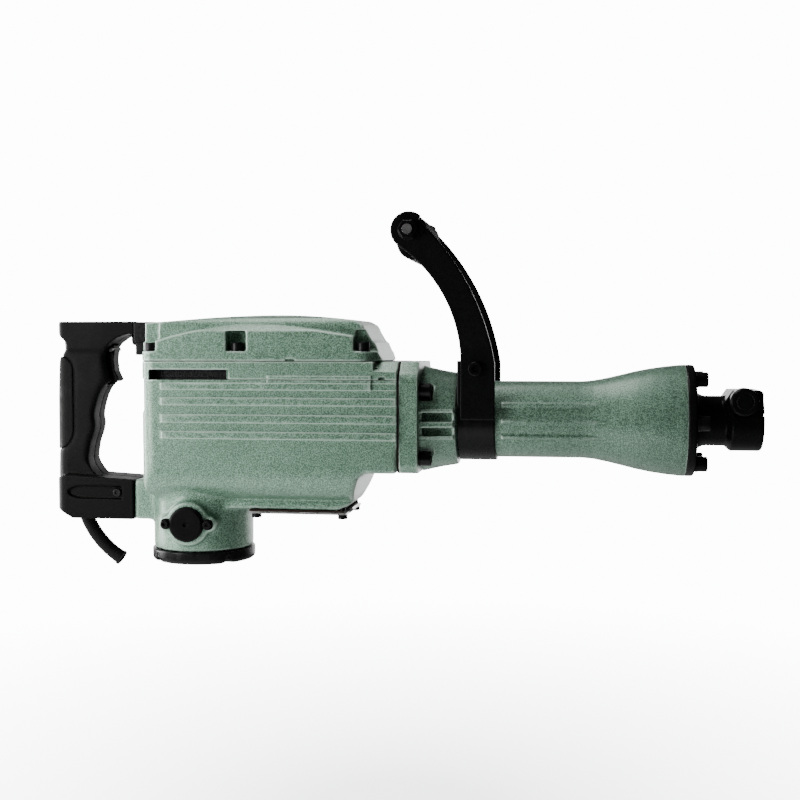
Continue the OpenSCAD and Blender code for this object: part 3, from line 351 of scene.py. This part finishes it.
def black_nylon():
    """Glass-filled nylon of the rear handle, finely grained."""
    look = Look("black_nylon")
    grain = look.cells(0.55 * MM, 0.3)
    cloud = look.noise(22 * MM, 3)
    base = look.blend(look.remap(cloud, 0.35, 0.65, 0, 1), (0.0007, 0.0006, 0.0007), (0.0016, 0.0015, 0.0015))
    look.shine(
        base=base, roughness=look.remap(cloud, 0.3, 0.7, 0.46, 0.58), specular=0.06,
        normal=look.bump(grain, 0.06 * MM, 0.35))
    return look.material


def rubber(name, tone, dusty):
    """Dull rubber, or paper, whose colour drifts from tone to dusty."""
    look = Look(name)
    skin = look.noise(0.5 * MM, 4)
    cloud = look.noise(12 * MM, 3)
    base = look.blend(look.remap(cloud, 0.4, 0.7, 0, 1), tone, dusty)
    look.shine(
        base=base, roughness=look.remap(cloud, 0.3, 0.7, 0.55, 0.75), specular=0.08,
        normal=look.bump(skin, 0.08 * MM, 0.4))
    return look.material


def foam():
    """Open-pored filter foam."""
    look = Look("foam")
    pores = look.cells(1.4 * MM, 0.1)
    base = look.blend(look.remap(pores, 0.2, 0.6, 0, 1), (0.002, 0.002, 0.002), (0.03, 0.03, 0.03))
    look.shine(base=base, roughness=0.95, specular=0.1, normal=look.bump(pores, 0.8 * MM, 1.0))
    return look.material


def ground_steel(name, tone, smoothest, roughest, streak=(1, 14, 14), stain=0.0):
    """Ground or turned metal with fine lines along one axis, and some stains."""
    look = Look(name)
    lines = look.noise(1.2 * MM, 3, streak)
    cloud = look.noise(15 * MM, 3)
    darker = tuple(0.72 * c for c in tone)
    base = look.blend(look.remap(lines, 0.3, 0.7, 0, 1), darker, tone)
    if stain:
        base = look.blend(look.remap(cloud, 0.5, 0.75, 0, stain), base, (0.20, 0.15, 0.11))
    look.shine(
        base=base, metallic=1.0, roughness=look.remap(cloud, 0.3, 0.7, smoothest, roughest),
        normal=look.bump(lines, 0.03 * MM, 0.35))
    return look.material


def laminations():
    """Stacked electrical sheet."""
    look = Look("electrical_steel")
    line = look.bands(0.32 / MM, 0.3)
    base = look.blend(line, (0.05, 0.05, 0.055), (0.30, 0.30, 0.31))
    look.shine(base=base, metallic=0.9, roughness=0.42, normal=look.bump(line, 0.1 * MM, 0.6))
    return look.material


def windings():
    """Varnished copper wire."""
    look = Look("copper")
    strand = look.bands(0.25 / MM, 1.5)
    varnish = look.noise(6 * MM, 3)
    copper = look.blend(strand, (0.32, 0.11, 0.04), (0.72, 0.33, 0.16))
    base = look.blend(look.remap(varnish, 0.45, 0.7, 0, 0.5), copper, (0.25, 0.10, 0.03))
    look.shine(
        base=base, metallic=0.9, roughness=0.33, coat=0.5, coat_roughness=0.1,
        normal=look.bump(strand, 0.3 * MM, 0.8))
    return look.material


def carbon():
    """Pressed carbon of the brushes."""
    look = Look("carbon")
    grit = look.noise(0.35 * MM, 4)
    base = look.blend(grit, (0.018, 0.018, 0.019), (0.060, 0.060, 0.062))
    look.shine(base=base, metallic=0.2, roughness=0.55, normal=look.bump(grit, 0.05 * MM, 0.5))
    return look.material


def moulded_ivory():
    """Moulded plastic of the fan."""
    look = Look("fan_plastic")
    cloud = look.noise(8 * MM, 3)
    base = look.blend(cloud, (0.62, 0.57, 0.44), (0.74, 0.70, 0.58))
    look.shine(base=base, roughness=0.42, normal=look.bump(look.noise(0.6 * MM, 3), 0.04 * MM, 0.4))
    return look.material


def cast_aluminium():
    """Sand-grained bare aluminium."""
    look = Look("aluminium")
    sand = look.noise(0.7 * MM, 4)
    cloud = look.noise(14 * MM, 3)
    base = look.blend(cloud, (0.48, 0.49, 0.51), (0.68, 0.69, 0.71))
    look.shine(
        base=base, metallic=0.95, roughness=look.remap(cloud, 0.3, 0.7, 0.38, 0.55),
        normal=look.bump(sand, 0.12 * MM, 0.5))
    return look.material


def make_materials():
    """One finished material for each of the record's slots."""
    return {
        "hammer_green": hammertone_green(),
        "black_cast": black_enamel(),
        "black_screw": black_oxide(),
        "black_nylon": black_nylon(),
        "black_rubber": rubber("black_rubber", (0.002, 0.002, 0.002), (0.005, 0.0048, 0.0046)),
        "foam": foam(),
        "bright_steel": ground_steel("bright_steel", (0.62, 0.62, 0.61), 0.20, 0.34),
        "gear_steel": ground_steel("gear_steel", (0.42, 0.42, 0.43), 0.26, 0.42, (8, 8, 1), 0.25),
        "electrical_steel": laminations(),
        "copper": windings(),
        "brass": ground_steel("brass", (0.66, 0.48, 0.20), 0.24, 0.40, (1, 10, 1), 0.3),
        "carbon": carbon(),
        "fan_plastic": moulded_ivory(),
        "aluminium": cast_aluminium(),
    }


# ---------------------------------------------------------------- castings

def bake_modifiers(piece):
    """Applies the piece's modifiers to its mesh."""
    evaluated = piece.evaluated_get(bpy.context.evaluated_depsgraph_get())
    mesh = bpy.data.meshes.new_from_object(evaluated)
    piece.modifiers.clear()
    piece.data = mesh


def soften(mesh, passes, weight):
    """Moves each vertex towards the middle of its neighbours, by its weight, in each pass."""
    count = len(mesh.vertices)
    flat = np.empty(count * 3)
    mesh.vertices.foreach_get("co", flat)
    places = flat.reshape(-1, 3)
    ends = np.empty(len(mesh.edges) * 2, np.int64)
    mesh.edges.foreach_get("vertices", ends)
    a, b = ends.reshape(-1, 2).T
    neighbours = np.maximum(np.bincount(np.concatenate([a, b]), minlength=count), 1)
    pull = np.asarray(weight(places) if callable(weight) else np.full(count, weight))
    for _ in range(passes):
        for axis in range(3):
            column = places[:, axis]
            total = np.bincount(a, column[b], count) + np.bincount(b, column[a], count)
            places[:, axis] = column + (total / neighbours - column) * pull
    mesh.vertices.foreach_set("co", places.ravel())
    mesh.update()


def rounded_copy(node, voxel, passes, keep, fillets=None):
    """Replaces a CAD node with a remeshed copy whose edges are rounded as cast or moulded ones are.

    `fillets` is (passes, weight by place) of a further smoothing, for places with larger radii.
    """
    source = NODES[node]
    piece = bpy.data.objects.new(node + "_body", source.data.copy())
    SCENE.collection.objects.link(piece)
    weld = piece.modifiers.new("weld", "WELD")
    weld.merge_threshold = WELD_GAP
    remesh = piece.modifiers.new("remesh", "REMESH")
    remesh.mode = "VOXEL"
    remesh.voxel_size = voxel
    bake_modifiers(piece)
    soften(piece.data, passes, 0.5)
    if fillets:
        soften(piece.data, fillets[0], fillets[1])
    thin = piece.modifiers.new("thin", "DECIMATE")
    thin.ratio = keep
    bake_modifiers(piece)
    piece.data.shade_smooth()
    piece.data.materials.clear()
    piece.data.materials.append(MATERIALS[SLOTS[node]])
    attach(piece, source["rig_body"])
    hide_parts(node)


def ramp(values, start, end):
    """0 before start, 1 after end, smooth between."""
    t = np.clip((values - start) / (end - start), 0, 1)
    return t * t * (3 - 2 * t)


def housing_fillets(places):
    """Large fillets low on the housing: the shoulder, the motor tube, the brush bosses and the belly."""
    low = ramp(places[:, 2], -22 * MM, -36 * MM)
    # the top edge of the stator's sleeve just shows through the rear wall
    rear = ramp(places[:, 0], -621 * MM, -625 * MM) * ramp(places[:, 2], -6 * MM, -12 * MM)
    rear = rear * ramp(np.abs(places[:, 1]), 34 * MM, 24 * MM)
    return 0.5 * np.maximum(low, rear)


def rim_fillets(places):
    """The rounded lower rim of the motor's bottom cover."""
    return 0.5 * ramp(places[:, 2], -145.5 * MM, -148 * MM)


def grip_fillets(places):
    """A soft grip between the two arms, with the seam of its halves and the arms left as they are."""
    along = ramp(places[:, 2], -56 * MM, -44 * MM) * ramp(places[:, 2], 78 * MM, 66 * MM)
    return 0.5 * along * ramp(np.abs(places[:, 1]), 1.0 * MM, 5.0 * MM)


# node: voxel size in mm, smoothing passes, share of faces kept
CAST_NODES = {
    "upper_housing": (0.9, 1, 0.35),
    "top_cover": (1.0, 4, 0.35),
    "cylinder_case": (0.9, 1, 0.35),
    "front_cover": (0.8, 3, 0.35),
    "handle_mount_block": (0.8, 2, 0.4),
    "side_handle_band": (0.8, 4, 0.35),
    "side_handle_arms": (0.8, 4, 0.35),
    "grip_pad": (0.7, 3, 0.35),
    "side_grip": (1.0, 8, 0.35),
    "retainer_pin": (0.5, 2, 0.35),
    "brush_caps": (0.5, 3, 0.35),
    "trigger": (0.6, 4, 0.4),
}


def add_castings():
    """The rounded copies of all the cast, moulded and rubber nodes."""
    rounded_copy("lower_housing", 0.9 * MM, 1, 0.35, (44, housing_fillets))
    rounded_copy("motor_bottom_cover", 0.8 * MM, 4, 0.35, (26, rim_fillets))
    for side in ("left", "right"):
        rounded_copy("handle_shell_" + side, 0.9 * MM, 2, 0.35, (60, grip_fillets))
    for node, (voxel, passes, keep) in CAST_NODES.items():
        rounded_copy(node, voxel * MM, passes, keep)


def bevel_node(node, width):
    """Rounds a machined CAD node's edges without touching its mesh."""
    thing = NODES[node]
    weld = thing.modifiers.new("weld", "WELD")
    weld.merge_threshold = WELD_GAP
    bevel = thing.modifiers.new("bevel", "BEVEL")
    bevel.width = width
    bevel.segments = 2
    bevel.limit_method = "ANGLE"
    bevel.angle_limit = math.radians(40)
    bevel.use_clamp_overlap = True
    normals = thing.modifiers.new("normals", "WEIGHTED_NORMAL")
    normals.keep_sharp = True


# node: bevel width in mm
BEVELS = {
    "top_cover_bolts": 0.5,
    "case_bolts": 0.6,
    "front_cover_bolts": 0.6,
    "front_washers": 0.3,
    "brush_cap_screws": 0.3,
    "belly_bolts": 0.3,
    "belly_plate": 0.4,
    "handle_screws": 0.25,
    "side_handle_clamp_bolt": 0.5,
    "side_grip_nuts": 0.7,
    "side_grip_stud": 0.8,
    "cord_guard": 0.6,
    "bottom_cover_screws": 0.3,
    "piston": 0.4,
    "striker": 0.4,
    "impact_bolt": 0.4,
    "gear_plate": 0.8,
}


def finish_nodes():
    """Gives every CAD node its slot's material, and bevels to the machined ones."""
    for node, thing in NODES.items():
        thing.data.materials.clear()
        thing.data.materials.append(MATERIALS[SLOTS[node]])
    for node, width in BEVELS.items():
        bevel_node(node, width * MM)
    NODES["gaskets"].data.materials[0] = rubber("gasket_paper", (0.012, 0.008, 0.006), (0.026, 0.018, 0.013))


# ---------------------------------------------------------------- the whole object

add_camera()
MATERIALS = make_materials()
SLOTS = {part["node"]: part["material_slot"] for part in frame["record"]["subparts"]}
add_studio()
add_floor()
finish_nodes()
add_castings()
